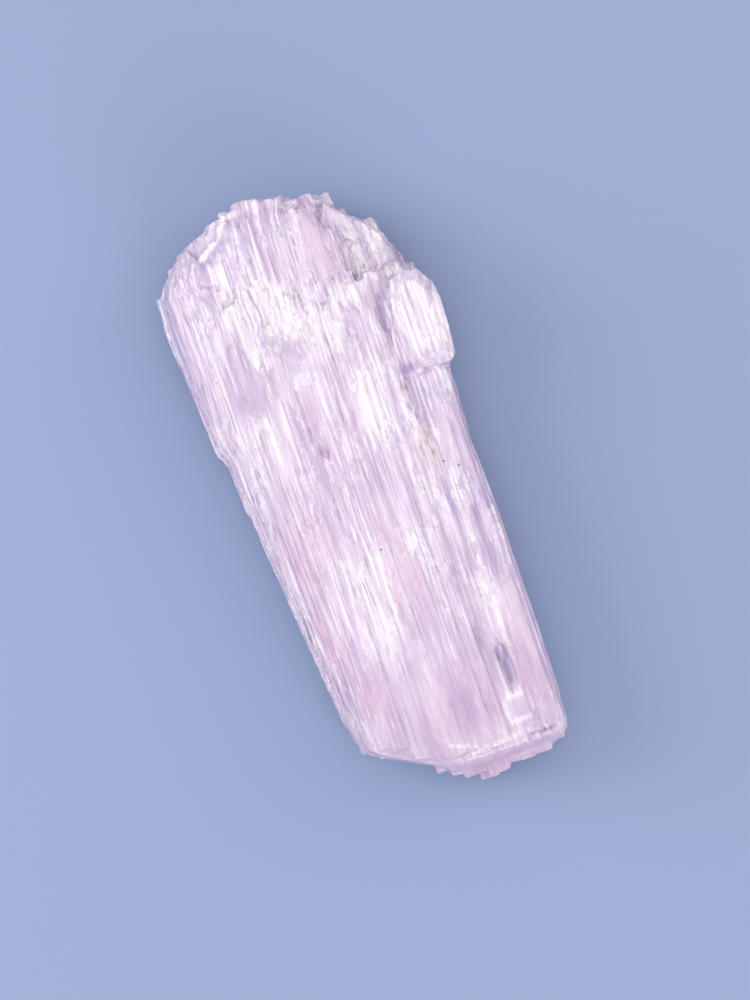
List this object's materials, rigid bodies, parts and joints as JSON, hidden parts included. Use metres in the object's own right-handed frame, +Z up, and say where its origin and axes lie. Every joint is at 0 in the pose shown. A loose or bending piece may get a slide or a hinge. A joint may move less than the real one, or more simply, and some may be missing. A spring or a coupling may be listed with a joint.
{
  "type": "kunzite crystal",
  "caption": "Lilac kunzite (spodumene) crystal: a flattened prism of long parallel laths with a ragged upper end, a side block, pits and a broken lower end, lying on its broad face.",
  "frame": {"origin": "middle of the crystal's bounding box, on the surface that it lies on", "axes": "+X across the broad face, +Y along the crystal towards its ragged upper end, +Z up out of the pictured broad face"},
  "size_m": [0.0306, 0.0708, 0.0136],
  "materials": {
    "kunzite": "clear to milky lilac spodumene, satiny with fine lengthwise striations"
  },
  "bodies": {
    "root": {"kunzite_crystal": "kunzite"}
  },
  "joints": []
}
